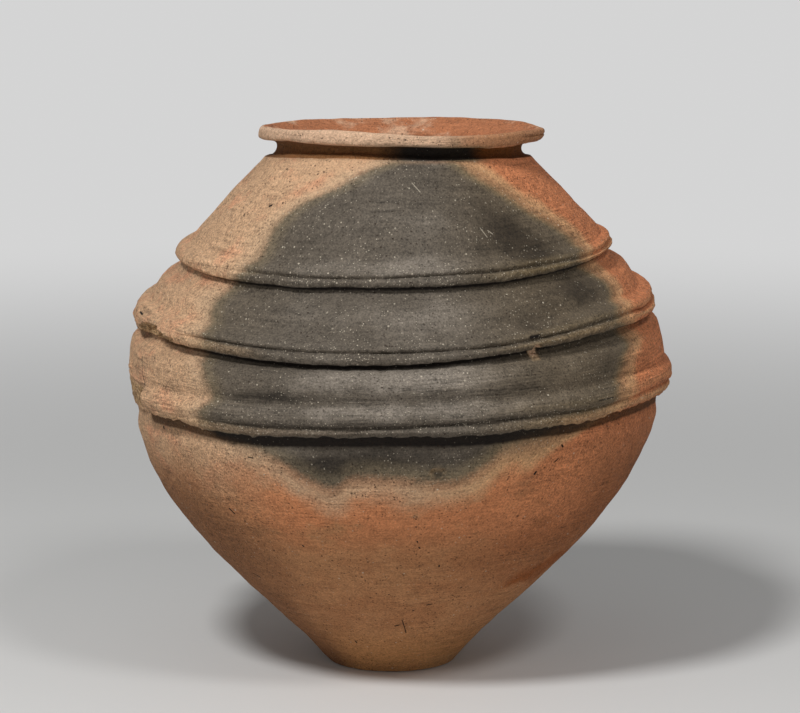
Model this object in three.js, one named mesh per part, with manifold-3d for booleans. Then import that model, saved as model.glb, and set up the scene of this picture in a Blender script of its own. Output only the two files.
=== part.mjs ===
// Wide storage jar of coarse earthenware, built by hand from coils: a small flat base, a wall
// that swells to a broad belly, three raised cordons round the shoulder, and a thick turned-out rim.
// Millimetres, +Z up. The origin is the middle of the base's underside, and the front faces -Y.
// Azimuths are in degrees, from +X (0) by way of +Y (90) and -X (180) to the front (270).
// Each piece is drawn as a level, turned shape, chipped where it is broken, and then bent by hand
// in the same way as its neighbours, so that the gaps between the pieces stay as drawn.

import * as THREE from 'three';
import Module from 'manifold-3d';
import { mergeVertices } from 'three/addons/utils/BufferGeometryUtils.js';

// Base and wall
const baseRadius = 44.3;
const baseThickness = 11;
const baseEdge = 1.2;
const footAngle = 47;
const bellyRadius = 188.8;
const bellyHeight = 220;
const shoulderRadius = 94.5;
const shoulderAngle = 47;
const wallThickness = 8.5;

// Fullness of the wall's curves: how far each curve holds its direction at the foot, below the
// belly, above the belly and at the shoulder, as a share of the straight distance that it spans
const footFullness = 0.376;
const underBellyFullness = 0.365;
const overBellyFullness = 0.281;
const shoulderFullness = 0.244;

// The wall is built up in courses of coils. The lowest two end at these heights, the next three
// behind the cordons and the last at the neck. Each joint climbs from the outside to the inside.
const footCourseTop = 66;
const lowerCourseTop = 132;
const jointClimb = 5;

// Heights of the cordons' grooves and of the neck, each above the feature below it
const lowerCordonHeight = 201.4;
const middleCordonRise = 56.6;
const upperCordonRise = 40.8;
const shoulderRise = 62.2;

// Rim
const neckSeat = 1;
const neckInset = 8;
const neckRise = 7;
const neckThickness = 8.5;
const rimOverhang = 14;
const rimRise = 21.5;
const lipHeight = 9.4;
const undersideDrop = 2.8;
const lipRound = 2.6;
const lipFaceHollow = 0.65;
const lipSlope = 6.5;
const throatRound = 5.2;

// Clearances between the pieces
const jointGap = 0.3;
const cordonClearance = 0.4;

// Fineness of the turned shapes
const aroundCount = 64;
const outerStep = 19;
const innerStep = 32;
const curveSteps = 3;
const slopeReach = 0.5;
const halvings = 40;
const mergeDistance = 1e-4;

// Each cordon is a strip with two ridges and a groove between them, pressed into a shallow seat.
// Heights are measured from the groove, and "proud" is how far out of the plain wall, measured at
// the groove, each line of the section stands. The wall is pressed in by undercut below the strip.
const lowerCordon = {
  height: lowerCordonHeight,
  creaseRise: 14.2,
  upperRise: 6.3,
  lowerDrop: 4.5,
  lipDrop: 9.2,
  upperProud: 6.2,
  grooveProud: 3.4,
  lowerProud: 4,
  lipProud: 0.4,
  undercut: 2.8,
  undercutDrop: 13.4,
  undercutReach: 11.7,
};
const middleCordon = {
  height: lowerCordon.height + middleCordonRise,
  creaseRise: 9.2,
  upperRise: 3.2,
  lowerDrop: 3.3,
  lipDrop: 8,
  upperProud: 4.4,
  grooveProud: 3.7,
  lowerProud: 5.9,
  lipProud: 4.1,
  undercut: 6.9,
  undercutDrop: 9.9,
  undercutReach: 9,
};
const upperCordon = {
  height: middleCordon.height + upperCordonRise,
  creaseRise: 5.4,
  upperRise: 2.6,
  lowerDrop: 2.6,
  lipDrop: 6.2,
  upperProud: 1.6,
  grooveProud: 0.8,
  lowerProud: 2.9,
  lipProud: 1.2,
  undercut: 7.5,
  undercutDrop: 8.6,
  undercutReach: 11,
};
const cordons = [lowerCordon, middleCordon, upperCordon];

// Thickness of a cordon's feathered upper edge, the place of the curve's corner above the upper
// ridge, as a share of the way to that edge, and the share of an undercut that shows inside
const creaseEdge = 0.6;
const swellCorner = 0.25;
const undercutInside = 0.6;

const shoulderHeight = upperCordon.height + shoulderRise;
const rimHeight = shoulderHeight + rimRise;

// Stretch broken off the lower cordon, and the ragged depth left of the strip's core there
const breakStart = 164;
const breakEnd = 203.5;
const breakDepths = [5, 6.2, 5.2, 6.4, 5.4, 6.5, 5, 6];
const breakOverrun = 1;

// Chips knocked out of the middle cordon's lip, as half sizes along, out of and up the wall
const longChip = { azimuth: 206.5, length: 22, depth: 5.5, height: 6.5 };
const smallChip = { azimuth: 302, length: 4, depth: 4, height: 4.5 };

// How the hand-built jar strays from a turned one. At each height its axis has moved to +X by
// lean, and the level ring there dips at the front and rises at +X by these slopes. The two
// places in the lower wall are shares of the lower cordon's height.
const nearFoot = 0.2;
const nearBelly = 0.6;
const strays = [
  { height: 0, lean: 0, frontDip: 0, sideRise: 0 },
  { height: lowerCordon.height * nearFoot, lean: -0.9, frontDip: 0, sideRise: 0 },
  { height: lowerCordon.height * nearBelly, lean: 1.7, frontDip: 0, sideRise: 0.012 },
  { height: lowerCordon.height, lean: 3.7, frontDip: -0.008, sideRise: 0.025 },
  { height: middleCordon.height, lean: 1.7, frontDip: 0.044, sideRise: 0.029 },
  { height: upperCordon.height, lean: 1.4, frontDip: 0.034, sideRise: 0.027 },
  { height: shoulderHeight, lean: 4.6, frontDip: -0.064, sideRise: 0 },
  { height: rimHeight, lean: 7.4, frontDip: -0.036, sideRise: -0.011 },
];

const wasm = await Module();
wasm.setup();

// Plain outline of the wall: one curve from foot to belly and one from belly to shoulder
const belly = new THREE.Vector2(bellyRadius, bellyHeight);
const foot = new THREE.Vector2(baseRadius, 0);
const shoulder = new THREE.Vector2(shoulderRadius, shoulderHeight);

function handle(end, angle, length) {
  const radians = THREE.MathUtils.degToRad(angle);
  return new THREE.Vector2(end.x + length * Math.cos(radians), end.y + length * Math.sin(radians));
}

const lowerSpan = foot.distanceTo(belly);
const upperSpan = shoulder.distanceTo(belly);
const lowerCurve = new THREE.CubicBezierCurve(
  foot,
  handle(foot, footAngle, footFullness * lowerSpan),
  handle(belly, -90, underBellyFullness * lowerSpan),
  belly,
);
const upperCurve = new THREE.CubicBezierCurve(
  belly,
  handle(belly, 90, overBellyFullness * upperSpan),
  handle(shoulder, -shoulderAngle, shoulderFullness * upperSpan),
  shoulder,
);

function plainRadius(height) {
  const curve = height < bellyHeight ? lowerCurve : upperCurve;
  let low = 0;
  let high = 1;
  for (let step = 0; step < halvings; step += 1) {
    const middle = (low + high) / 2;
    if (curve.getPoint(middle).y < height) low = middle;
    else high = middle;
  }
  return curve.getPoint(low).x;
}

// Depth of the groove pressed into the wall below and behind each cordon
function undercutAt(height) {
  let depth = 0;
  for (const cordon of cordons) {
    const centre = cordon.height - cordon.undercutDrop;
    const above = cordon.creaseRise + cordon.undercutDrop;
    const reach = height < centre ? cordon.undercutReach : above;
    const share = Math.min(Math.abs(height - centre) / reach, 1);
    depth += cordon.undercut * Math.cos((share * Math.PI) / 2) ** 2;
  }
  return depth;
}

function outerRadius(height) {
  return plainRadius(height) - undercutAt(height);
}

// The wall keeps its thickness square to its face, and the pressed grooves show inside, shallower
function innerRadius(height) {
  const change = plainRadius(height + slopeReach) - plainRadius(height - slopeReach);
  const slope = change / (2 * slopeReach);
  const across = wallThickness * Math.hypot(1, slope);
  return plainRadius(height) - across - undercutInside * undercutAt(height);
}

// Heights at which the outside has a point. Cordons share these with the wall behind them.
function outerFeatures() {
  return cordons.flatMap((cordon) => {
    const centre = cordon.height - cordon.undercutDrop;
    const crease = cordon.height + cordon.creaseRise;
    return [
      centre - cordon.undercutReach,
      centre - cordon.undercutReach / 2,
      centre,
      cordon.height - cordon.lipDrop,
      cordon.height,
      (cordon.height + crease) / 2,
      crease,
    ];
  });
}

function innerFeatures() {
  return cordons.flatMap((cordon) => {
    const centre = cordon.height - cordon.undercutDrop;
    return [centre - cordon.undercutReach, centre, cordon.height + cordon.creaseRise];
  });
}

function heightsBetween(from, to, features, largestStep) {
  const inside = features.filter((height) => height > from && height < to);
  const heights = [from, ...inside.sort((a, b) => a - b), to];
  const filled = [from];
  for (let index = 1; index < heights.length; index += 1) {
    const start = heights[index - 1];
    const span = heights[index] - start;
    const parts = Math.max(1, Math.round(span / largestStep));
    for (let part = 1; part <= parts; part += 1) filled.push(start + (span * part) / parts);
  }
  return filled;
}

function turned(points) {
  const geometry = new THREE.LatheGeometry([...points, points[0]], aroundCount);
  geometry.rotateX(Math.PI / 2);
  return solidFrom(geometry);
}

function solidFrom(geometry) {
  geometry.deleteAttribute('normal');
  geometry.deleteAttribute('uv');
  const merged = mergeVertices(geometry, mergeDistance);
  const corners = merged.index.array;
  const triangles = [];
  for (let index = 0; index < corners.length; index += 3) {
    const [a, b, c] = corners.slice(index, index + 3);
    if (a !== b && b !== c && c !== a) triangles.push(a, b, c);
  }
  return new wasm.Manifold(new wasm.Mesh({
    numProp: 3,
    vertProperties: new Float32Array(merged.attributes.position.array),
    triVerts: new Uint32Array(triangles),
  }));
}

// Values between the stations of strays follow a smooth curve through them
function strayAt(height, key) {
  const last = strays.length - 1;
  let index = 0;
  while (index < last - 1 && height > strays[index + 1].height) index += 1;
  const start = strays[index];
  const end = strays[index + 1];
  const before = strays[Math.max(index - 1, 0)];
  const after = strays[Math.min(index + 2, last)];
  const span = end.height - start.height;
  const share = THREE.MathUtils.clamp((height - start.height) / span, 0, 1);
  const startSlope = (span * (end[key] - before[key])) / (end.height - before.height);
  const endSlope = (span * (after[key] - start[key])) / (after.height - start.height);
  const square = share * share;
  const cube = square * share;
  return (
    (2 * cube - 3 * square + 1) * start[key] +
    (cube - 2 * square + share) * startSlope +
    (3 * square - 2 * cube) * end[key] +
    (cube - square) * endSlope
  );
}

function bendByHand(position) {
  for (let index = 0; index < position.count; index += 1) {
    const x = position.getX(index);
    const y = position.getY(index);
    const height = position.getZ(index);
    const rise = strayAt(height, 'frontDip') * y + strayAt(height, 'sideRise') * x;
    position.setX(index, x + strayAt(height, 'lean'));
    position.setZ(index, height + rise);
  }
}

function pieceMesh(name, solid, colour) {
  const { vertProperties, triVerts } = solid.getMesh();
  const geometry = new THREE.BufferGeometry();
  geometry.setAttribute('position', new THREE.BufferAttribute(vertProperties, 3));
  geometry.setIndex(new THREE.BufferAttribute(triVerts, 1));
  bendByHand(geometry.attributes.position);
  geometry.computeVertexNormals();
  const material = new THREE.MeshStandardMaterial({
    color: colour,
    roughness: clayRoughness,
    metalness: 0,
  });
  const mesh = new THREE.Mesh(geometry, material);
  mesh.name = name;
  return mesh;
}

function baseDisc() {
  const top = baseThickness;
  const edges = [baseEdge, top / 2, top];
  return turned([
    new THREE.Vector2(0, 0),
    new THREE.Vector2(baseRadius - baseEdge, 0),
    ...edges.map((height) => new THREE.Vector2(plainRadius(height), height)),
    new THREE.Vector2(0, top),
  ]);
}

// One course of the wall, from bottom to top, with joints that climb inwards by these amounts
function wallCourse(bottom, top, bottomClimb, topClimb) {
  const outer = heightsBetween(bottom, top, outerFeatures(), outerStep);
  const inner = heightsBetween(bottom + bottomClimb, top + topClimb, innerFeatures(), innerStep);
  return turned([
    ...outer.map((height) => new THREE.Vector2(outerRadius(height), height)),
    ...inner.reverse().map((height) => new THREE.Vector2(innerRadius(height), height)),
  ]);
}

function cordonStrip(cordon) {
  const groove = cordon.height;
  const crease = groove + cordon.creaseRise;
  const lip = groove - cordon.lipDrop;
  const wall = plainRadius(groove);
  const at = (proud, height) => new THREE.Vector2(wall + proud, height);
  const ridge = at(cordon.upperProud, groove + cordon.upperRise);
  const edge = new THREE.Vector2(plainRadius(crease) + cordonClearance + creaseEdge, crease);
  const corner = new THREE.Vector2(
    THREE.MathUtils.lerp(ridge.x, edge.x, swellCorner),
    THREE.MathUtils.lerp(crease, ridge.y, swellCorner),
  );
  const swell = new THREE.QuadraticBezierCurve(ridge, corner, edge);
  const seat = heightsBetween(lip, crease, outerFeatures(), outerStep).reverse();
  return turned([
    at(cordon.lipProud, lip),
    at(cordon.lowerProud, groove - cordon.lowerDrop),
    at(cordon.grooveProud, groove),
    ...swell.getPoints(curveSteps),
    ...seat.map((height) => new THREE.Vector2(outerRadius(height) + cordonClearance, height)),
  ]);
}

// The neck curves in from the shoulder and out again under the lip, whose top slopes inwards
function evertedRim() {
  const bottom = shoulderHeight + jointGap;
  const neckRadius = shoulderRadius - neckInset;
  const neckHeight = bottom + neckRise;
  const rimRadius = neckRadius + rimOverhang;
  const mouthRadius = neckRadius - neckThickness;
  const lipBottom = rimHeight - lipHeight;
  const lipTop = rimHeight - lipRound;
  const throat = rimHeight - lipSlope;
  const section = new THREE.Path();
  section.moveTo(shoulderRadius - neckSeat, bottom);
  section.quadraticCurveTo(neckRadius, bottom, neckRadius, neckHeight);
  section.quadraticCurveTo(
    neckRadius,
    lipBottom - undersideDrop,
    rimRadius - lipRound,
    lipBottom,
  );
  section.quadraticCurveTo(
    rimRadius,
    lipBottom,
    rimRadius - lipFaceHollow,
    (lipBottom + lipTop) / 2,
  );
  section.lineTo(rimRadius, lipTop);
  section.quadraticCurveTo(rimRadius, rimHeight, rimRadius - lipRound, rimHeight);
  section.lineTo(mouthRadius + lipRound, throat);
  section.quadraticCurveTo(mouthRadius, throat, mouthRadius, throat - throatRound);
  section.lineTo(mouthRadius, neckHeight);
  section.lineTo(innerRadius(shoulderHeight), bottom);
  return turned(section.getPoints(curveSteps));
}

function aroundPoint(radius, azimuth) {
  const radians = THREE.MathUtils.degToRad(azimuth);
  return new THREE.Vector2(radius * Math.cos(radians), radius * Math.sin(radians));
}

// A block outside a ragged line that follows the wall, as tall as the cordon that it breaks
function brokenStretch(cordon) {
  const core = plainRadius(cordon.height) + cordon.upperProud;
  const height = cordon.creaseRise + cordon.undercutDrop + cordon.undercutReach;
  const step = (breakEnd - breakStart) / (breakDepths.length - 1);
  const along = (radius, index) => aroundPoint(radius, breakStart + index * step);
  const ragged = breakDepths.map((depth, index) => along(core - depth, index));
  const beyond = breakDepths.map((_, index) => along(core + cordon.upperProud, index));
  const outline = new THREE.Shape([...ragged, ...beyond.reverse()]);
  const block = new THREE.ExtrudeGeometry(outline, { depth: height, bevelEnabled: false });
  block.translate(0, 0, cordon.height + cordon.creaseRise + breakOverrun - height);
  return solidFrom(block);
}

function chipSolid(cordon, chip) {
  const radius = plainRadius(cordon.height) + cordon.lowerProud;
  const place = aroundPoint(radius, chip.azimuth);
  const lump = new THREE.IcosahedronGeometry(1, 0);
  lump.scale(chip.depth, chip.length, chip.height);
  lump.rotateZ(THREE.MathUtils.degToRad(chip.azimuth));
  lump.translate(place.x, place.y, cordon.height - cordon.lowerDrop);
  return solidFrom(lump);
}

const clayRoughness = 0.9;
const orangeClay = 0xc4845a;
const buffClay = 0xd0a582;
const smokedClay = 0x7d6f62;

const courses = [
  { name: 'foot_wall', top: footCourseTop, colour: orangeClay },
  { name: 'lower_wall', top: lowerCourseTop, colour: orangeClay },
  { name: 'flare_wall', top: lowerCordon.height, colour: orangeClay },
  { name: 'belly_wall', top: middleCordon.height, colour: smokedClay },
  { name: 'upper_belly_wall', top: upperCordon.height, colour: smokedClay },
  { name: 'shoulder_wall', top: shoulderHeight, colour: buffClay },
];

function wallCourses() {
  let bottom = baseThickness + jointGap;
  let bottomClimb = 0;
  return courses.map(({ name, top, colour }) => {
    const topClimb = top < shoulderHeight ? jointClimb : 0;
    const solid = wallCourse(bottom, top, bottomClimb, topClimb);
    bottom = top + jointGap;
    bottomClimb = topClimb;
    return pieceMesh(name, solid, colour);
  });
}

const group = new THREE.Group();
group.add(
  pieceMesh('base_disc', baseDisc(), orangeClay),
  ...wallCourses(),
  pieceMesh('everted_rim', evertedRim(), buffClay),
  pieceMesh(
    'cordon_lower',
    cordonStrip(lowerCordon).subtract(brokenStretch(lowerCordon)),
    smokedClay,
  ),
  pieceMesh(
    'cordon_middle',
    cordonStrip(middleCordon)
      .subtract(chipSolid(middleCordon, longChip))
      .subtract(chipSolid(middleCordon, smallChip)),
    smokedClay,
  ),
  pieceMesh('cordon_upper', cordonStrip(upperCordon), smokedClay),
);

export default group;
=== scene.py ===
import math

import bpy
import numpy as np
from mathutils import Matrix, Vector


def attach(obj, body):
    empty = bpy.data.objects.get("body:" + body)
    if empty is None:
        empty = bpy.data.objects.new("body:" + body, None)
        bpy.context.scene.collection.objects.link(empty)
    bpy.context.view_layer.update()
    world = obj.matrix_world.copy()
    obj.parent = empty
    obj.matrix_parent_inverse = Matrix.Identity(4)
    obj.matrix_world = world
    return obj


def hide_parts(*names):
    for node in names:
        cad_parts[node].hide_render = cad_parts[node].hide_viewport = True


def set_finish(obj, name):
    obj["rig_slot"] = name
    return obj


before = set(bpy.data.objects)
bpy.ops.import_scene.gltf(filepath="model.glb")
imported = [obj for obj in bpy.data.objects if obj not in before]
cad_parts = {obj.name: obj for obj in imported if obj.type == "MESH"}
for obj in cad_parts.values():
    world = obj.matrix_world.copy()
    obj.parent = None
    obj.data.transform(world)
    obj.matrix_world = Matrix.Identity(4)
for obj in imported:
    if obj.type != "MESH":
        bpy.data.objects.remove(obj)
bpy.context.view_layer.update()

mm = 0.001
print("Frame loaded:", len(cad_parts), "nodes")

# The jar is shaped in millimetres as a level, turned form. Every point is then roughened and bent
# by hand in the same way, so that neighbouring pieces share their edges.

# Outline of the wall, from the foot to the shoulder
wall = {
    "baseRadius": 44.3,
    "footAngle": 47,
    "bellyRadius": 188.8,
    "bellyHeight": 220,
    "shoulderRadius": 94.5,
    "shoulderHeight": 361,
    "shoulderAngle": 47,
    "footFullness": 0.376,
    "underBellyFullness": 0.365,
    "overBellyFullness": 0.281,
    "shoulderFullness": 0.244,
    "thickness": 8.5,
    "undercutInside": 0.6,
}

# How the hand-built jar strays from a turned one: the height, the lean to the right, the dip at
# the front and the rise at the right
strays = np.array([
    (0, 0, 0, 0),
    (40.28, -0.9, 0, 0),
    (120.84, 1.7, 0, 0.012),
    (201.4, 3.7, -0.008, 0.025),
    (258, 1.7, 0.044, 0.029),
    (298.8, 1.4, 0.034, 0.027),
    (361, 4.6, -0.064, 0),
    (382.5, 7.4, -0.036, -0.011),
])

# Columns of the mesh round the jar in degrees, close together where it is chipped. The right is 0,
# the back 90, the left 180 and the front 270.
columnZones = [
    (0, 160, 0.8), (160, 198, 0.45), (198, 210, 0.2), (210, 216, 0.4), (216, 297, 0.55),
    (297, 307, 0.3), (307, 360, 0.55),
]
degrees = np.concatenate([
    np.linspace(start, end, round((end - start) / step), endpoint=False)
    for start, end, step in columnZones
])
around = np.radians(degrees)


def curveThrough(stations, values, at):
    # A smooth curve through unevenly spaced stations. The values may have further axes.
    last = len(stations) - 1
    index = np.clip(np.searchsorted(stations, at) - 1, 0, last - 1)
    before = np.maximum(index - 1, 0)
    after = np.minimum(index + 2, last)
    spread = Ellipsis if np.ndim(at) > 1 else (slice(None),) + (None,) * (values.ndim - 1)
    span = stations[index + 1] - stations[index]
    share = np.clip((at - stations[index]) / span, 0, 1)[spread]
    startPull = (span / (stations[index + 1] - stations[before]))[spread]
    endPull = (span / (stations[after] - stations[index]))[spread]
    startSlope = startPull * (values[index + 1] - values[before])
    endSlope = endPull * (values[after] - values[index])
    square = share * share
    cube = square * share
    return (
        (2 * cube - 3 * square + 1) * values[index]
        + (cube - 2 * square + share) * startSlope
        + (3 * square - 2 * cube) * values[index + 1]
        + (cube - square) * endSlope
    )


def bezier(a, b, c, d, count=400):
    t = np.linspace(0, 1, count)[:, None]
    return (1 - t) ** 3 * a + 3 * (1 - t) ** 2 * t * b + 3 * (1 - t) * t * t * c + t ** 3 * d


def wallOutline():
    foot = np.array([wall["baseRadius"], 0])
    belly = np.array([wall["bellyRadius"], wall["bellyHeight"]])
    shoulder = np.array([wall["shoulderRadius"], wall["shoulderHeight"]])
    lowerSpan = np.linalg.norm(belly - foot)
    upperSpan = np.linalg.norm(shoulder - belly)

    def heading(angle, length):
        return length * np.array([math.cos(math.radians(angle)), math.sin(math.radians(angle))])

    lower = bezier(
        foot,
        foot + heading(wall["footAngle"], wall["footFullness"] * lowerSpan),
        belly + heading(-90, wall["underBellyFullness"] * lowerSpan),
        belly,
    )
    upper = bezier(
        belly,
        belly + heading(90, wall["overBellyFullness"] * upperSpan),
        shoulder + heading(-wall["shoulderAngle"], wall["shoulderFullness"] * upperSpan),
        shoulder,
    )
    return np.vstack([lower, upper[1:]])


outline = wallOutline()
outlineSlope = np.gradient(outline[:, 0], outline[:, 1])


def plainRadius(height):
    return np.interp(height, outline[:, 1], outline[:, 0])


def plainSlope(height):
    return np.interp(height, outline[:, 1], outlineSlope)


def smoothStep(value, low, high):
    share = np.clip((value - low) / (high - low), 0, 1)
    return share * share * (3 - 2 * share)


def within(value, start, full, less, end):
    return smoothStep(value, start, full) * (1 - smoothStep(value, less, end))


def blend(first, second, share):
    return [a + (b - a) * share for a, b in zip(first, second)]


def allRound(*values):
    # Gives each value a place at every column of the mesh
    return np.broadcast_arrays(*values, around)[:-1]


def ripples(points, size, seed, flatten=1.0, waves=22):
    # Smooth unevenness of about this wavelength, as a sum of plane waves, with a spread of 1
    random = np.random.default_rng(seed)
    total = np.zeros(points.shape[:-1])
    for _ in range(waves):
        direction = random.normal(size=3)
        direction /= np.linalg.norm(direction)
        direction[2] *= flatten
        length = size * random.uniform(0.65, 1.5)
        phase = random.uniform(0, 2 * math.pi)
        total += np.sin(points @ direction * (2 * math.pi / length) + phase)
    return total / math.sqrt(waves / 2)


def turnedPoints(radius, height):
    radius, height = allRound(radius, height)
    return np.stack([radius * np.cos(around), radius * np.sin(around), height], axis=-1)


def alongRing(radius, size, seed):
    return ripples(turnedPoints(radius, seed), size, seed)


# Cordons. proud is how far out of the wall, measured at the groove, each line of the section
# stands. grooveStray and lipStray are how far those two lines rise above level at these azimuths,
# and grooveShare is how much of the groove is pressed in there.
lowerCordon = {
    "node": "cordon_lower",
    "height": 201.4,
    "creaseRise": 14.2,
    "upperRise": 6.3,
    "lowerDrop": 4.6,
    "lipDrop": 8.9,
    "upperProud": 6.2,
    "grooveProud": 3.4,
    "lowerProud": 4.2,
    "lipProud": 1.4,
    "undercut": 2.8,
    "undercutDrop": 13.4,
    "undercutReach": 11.7,
    "grooveCut": 0.7,
    "grooveAbove": 3.0,
    "grooveBelow": 2.6,
    "rootLift": 1.2,
    "ridgeRagged": 0.5,
    "lipRagged": 1.0,
    # Painted shade on the wall under the lip: its height, and its strength at these azimuths
    "shadeBand": 10.5,
    "shadeAndSoot": [(0, 1), (150, 1), (190, 0.2), (202, 0.2), (204, 1), (206, 1)],
    "grooveStray": [
        (0, -0.8), (60, 0.5), (120, -0.5), (185, -1.5), (212, -1.7), (226, -0.5), (242, -1.5),
        (262, -1.2), (282, -0.9), (298, -0.3), (316, 0.1), (334, 1.7), (344, 1.5), (356, -1),
    ],
    "lipStray": [
        (0, 0.5), (60, -0.5), (120, 0.5), (185, 1), (211, 2.4), (218, 2.8), (228, 0.1), (242, -1.1),
        (252, 0), (270, 0.5), (280, -0.8), (289, -1.6), (300, -0.5), (312, -0.7), (325, 1.2),
        (343, 1.5),
    ],
    "grooveShare": [
        (0, 1), (150, 1), (195, 0.15), (222, 0.2), (238, 0.85), (250, 1), (294, 1), (308, 0.65),
        (338, 0.7), (352, 0.95),
    ],
    # How much darker the groove is painted
    "grooveDarkening": 0.5,
    "crust": [
        (0, 0.2), (120, 0), (195, 0.3), (204, 1), (222, 0.9), (240, 0.3), (285, 0), (315, 0.5),
        (345, 0.4),
    ],
    "seed": 31,
}
middleCordon = {
    "node": "cordon_middle",
    "height": 258,
    "creaseRise": 9.2,
    "upperRise": 3.6,
    "lowerDrop": 3.0,
    "lipDrop": 7.8,
    "upperProud": 4.2,
    "grooveProud": 3.5,
    "lowerProud": 5.9,
    "lipProud": 4.5,
    "undercut": 6.9,
    "undercutDrop": 9.9,
    "undercutReach": 9,
    "grooveCut": 0.8,
    "grooveAbove": 1.8,
    "grooveBelow": 1.9,
    "rootLift": 1.6,
    "ridgeRagged": 0.3,
    "lipRagged": 0.4,
    "shadeBand": 7,
    "shadeAndSoot": [
        (0, 1), (170, 0.6), (202, 0.3), (212, 1), (286, 1), (300, 0.8), (316, 0.5), (338, 0.4),
        (352, 0.9),
    ],
    "grooveStray": [
        (0, 0.5), (60, -0.5), (120, 0.8), (180, 1), (210, 2), (226, 2.7), (240, 1.1), (252, -0.3),
        (275, -0.6), (293, -0.3), (305, 1.3), (320, 3.4), (333, 3.0), (345, 0.3),
    ],
    "lipStray": [
        (0, 0.5), (60, -1), (120, 0.5), (190, 0.3), (213, 2.7), (228, 2), (241, 0), (254, -1.4),
        (276, -1.5), (289, 0.4), (305, 2.2), (324, 3.5), (338, 2), (351, 0.7),
    ],
    "grooveShare": [
        (0, 1), (60, 0.8), (120, 1), (170, 0.6), (190, 0.1), (214, 0.1), (226, 0.9), (240, 1),
    ],
    "grooveDarkening": 0.42,
    "crust": [
        (0, 0), (205, 0.1), (214, 0.5), (232, 0.5), (244, 0), (290, 0), (320, 0.3), (340, 0),
    ],
    "seed": 47,
}
upperCordon = {
    "node": "cordon_upper",
    "height": 298.8,
    "creaseRise": 5.4,
    "upperRise": 2.6,
    "lowerDrop": 2.2,
    "lipDrop": 5.9,
    "upperProud": 1.5,
    "grooveProud": 0.9,
    "lowerProud": 2.9,
    "lipProud": 1.9,
    "undercut": 7.5,
    "undercutDrop": 8.6,
    "undercutReach": 11,
    "grooveCut": 0.6,
    "grooveAbove": 1.2,
    "grooveBelow": 1.0,
    "rootLift": 1.2,
    "ridgeRagged": 0.25,
    "lipRagged": 0.3,
    "shadeBand": 3.5,
    "shadeAndSoot": [(0, 1), (150, 0.8), (205, 0.6), (225, 1)],
    "grooveStray": [
        (0, 1), (60, -0.5), (120, 0.5), (180, 1.5), (225, 1.7), (246, 1.3), (262, 0.8), (280, 1.5),
        (300, 1), (322, 0.4), (338, -0.3), (350, 1),
    ],
    "lipStray": [
        (0, 2), (60, 0), (120, 1), (180, 3), (196, 3.8), (210, 2.6), (227, 1.7), (260, 1.7),
        (290, 0.9), (305, 0.8), (327, 2.2), (345, 2.8),
    ],
    "grooveShare": [
        (0, 1), (60, 0.9), (120, 0.5), (160, 0.1), (200, 0), (222, 0.05), (236, 0.9), (250, 1),
    ],
    "grooveDarkening": 0.34,
    "crust": [(0, 0), (180, 0)],
    "seed": 59,
}
cordons = [lowerCordon, middleCordon, upperCordon]

# How crisply the cordons' upper edges meet the wall, from 0 to 1, at these azimuths, and how far up
# the wall the softest ones run out
softRise = 6
creaseCrispness = [
    (0, 1), (50, 0.8), (100, 0.5), (150, 0.6), (185, 0.7), (215, 0.45), (250, 0.1), (290, 0.15),
    (325, 0.6), (345, 0.95),
]


def alongTable(table):
    # A value at every column of the mesh, from (azimuth, value) pairs that start at azimuth 0
    azimuths, values = np.array([*table, (360, table[0][1])], dtype=float).T
    return curveThrough(azimuths, values, degrees)


def undercutAt(height):
    depth = 0
    for cordon in cordons:
        centre = cordon["height"] - cordon["undercutDrop"]
        above = cordon["creaseRise"] + cordon["undercutDrop"]
        reach = np.where(height < centre, cordon["undercutReach"], above)
        share = np.minimum(np.abs(height - centre) / reach, 1)
        depth = depth + cordon["undercut"] * np.cos(share * math.pi / 2) ** 2
    return depth


def skinRadius(height):
    return plainRadius(height) - undercutAt(height)


def innerRadius(height):
    across = wall["thickness"] * np.hypot(1, plainSlope(height))
    return plainRadius(height) - across - wall["undercutInside"] * undercutAt(height)


# Unevenness left by the potter's hands: the wavelength and the depth of each kind
handling = {
    "dents": (130, 0.45),
    "pressing": (42, 0.2),
    "fingers": (17, 0.09),
    "coilSpacing": 15,
    "coilDepth": 0.55,
    "coilDrift": (160, 2.2),
    "insidePressing": (28, 0.35),
    "outsideFlatness": 1.8,
    "insideFlatness": 1.4,
}

# A pebble that has burst out of the wall below the lower cordon, by its azimuth and height
spall = {
    "azimuth": 278.8,
    "height": 166.5,
    "halfWidth": 6.2,
    "halfHeight": 4.2,
    "depth": 1.9,
    "rim": 0.4,
    "pebble": 1.6,
    "pebbleWidth": 4.6,
    "pebbleHeight": 3.0,
}


def nearSpot(height, spot):
    # Distances from a spot on the wall, along and up it, and as a share of its size
    along = np.radians(degrees - spot["azimuth"]) * plainRadius(spot["height"])
    up = height - spot["height"]
    return along, up, np.hypot(along / spot["halfWidth"], up / spot["halfHeight"])


def burstMask(height):
    return 1 - smoothStep(nearSpot(height, spall)[2], 0.6, 1.05)


def pebbleAway(height):
    along, up = nearSpot(height, spall)[:2]
    return np.hypot((along - 0.6) / spall["pebbleWidth"], (up + 0.9) / spall["pebbleHeight"])


def pebbleMask(height):
    return 1 - smoothStep(pebbleAway(height), 0.7, 1.05)


def spallDepth(height):
    _, up, away = nearSpot(height, spall)
    hollow = spall["depth"] * (1 - smoothStep(away, 0.55, 1.0))
    raisedRim = spall["rim"] * np.exp(-((away - 1.15) / 0.2) ** 2) * (up > 0)
    pebble = spall["pebble"] * np.sqrt(np.clip(1 - pebbleAway(height) ** 2, 0, 1))
    return hollow - raisedRim - pebble


# Where a thin flake of the wall came away with the broken strip, and the stub left beside it
flake = {
    "end": 204.1,
    "endSlant": 0.14,
    "start": 187,
    "bottom": 190,
    "top": 236,
    "depth": 0.8,
    "stub": {"azimuth": 190.5, "height": 222.5, "halfWidth": 5.5, "halfHeight": 4},
    "stubRise": 2.0,
}


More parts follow.
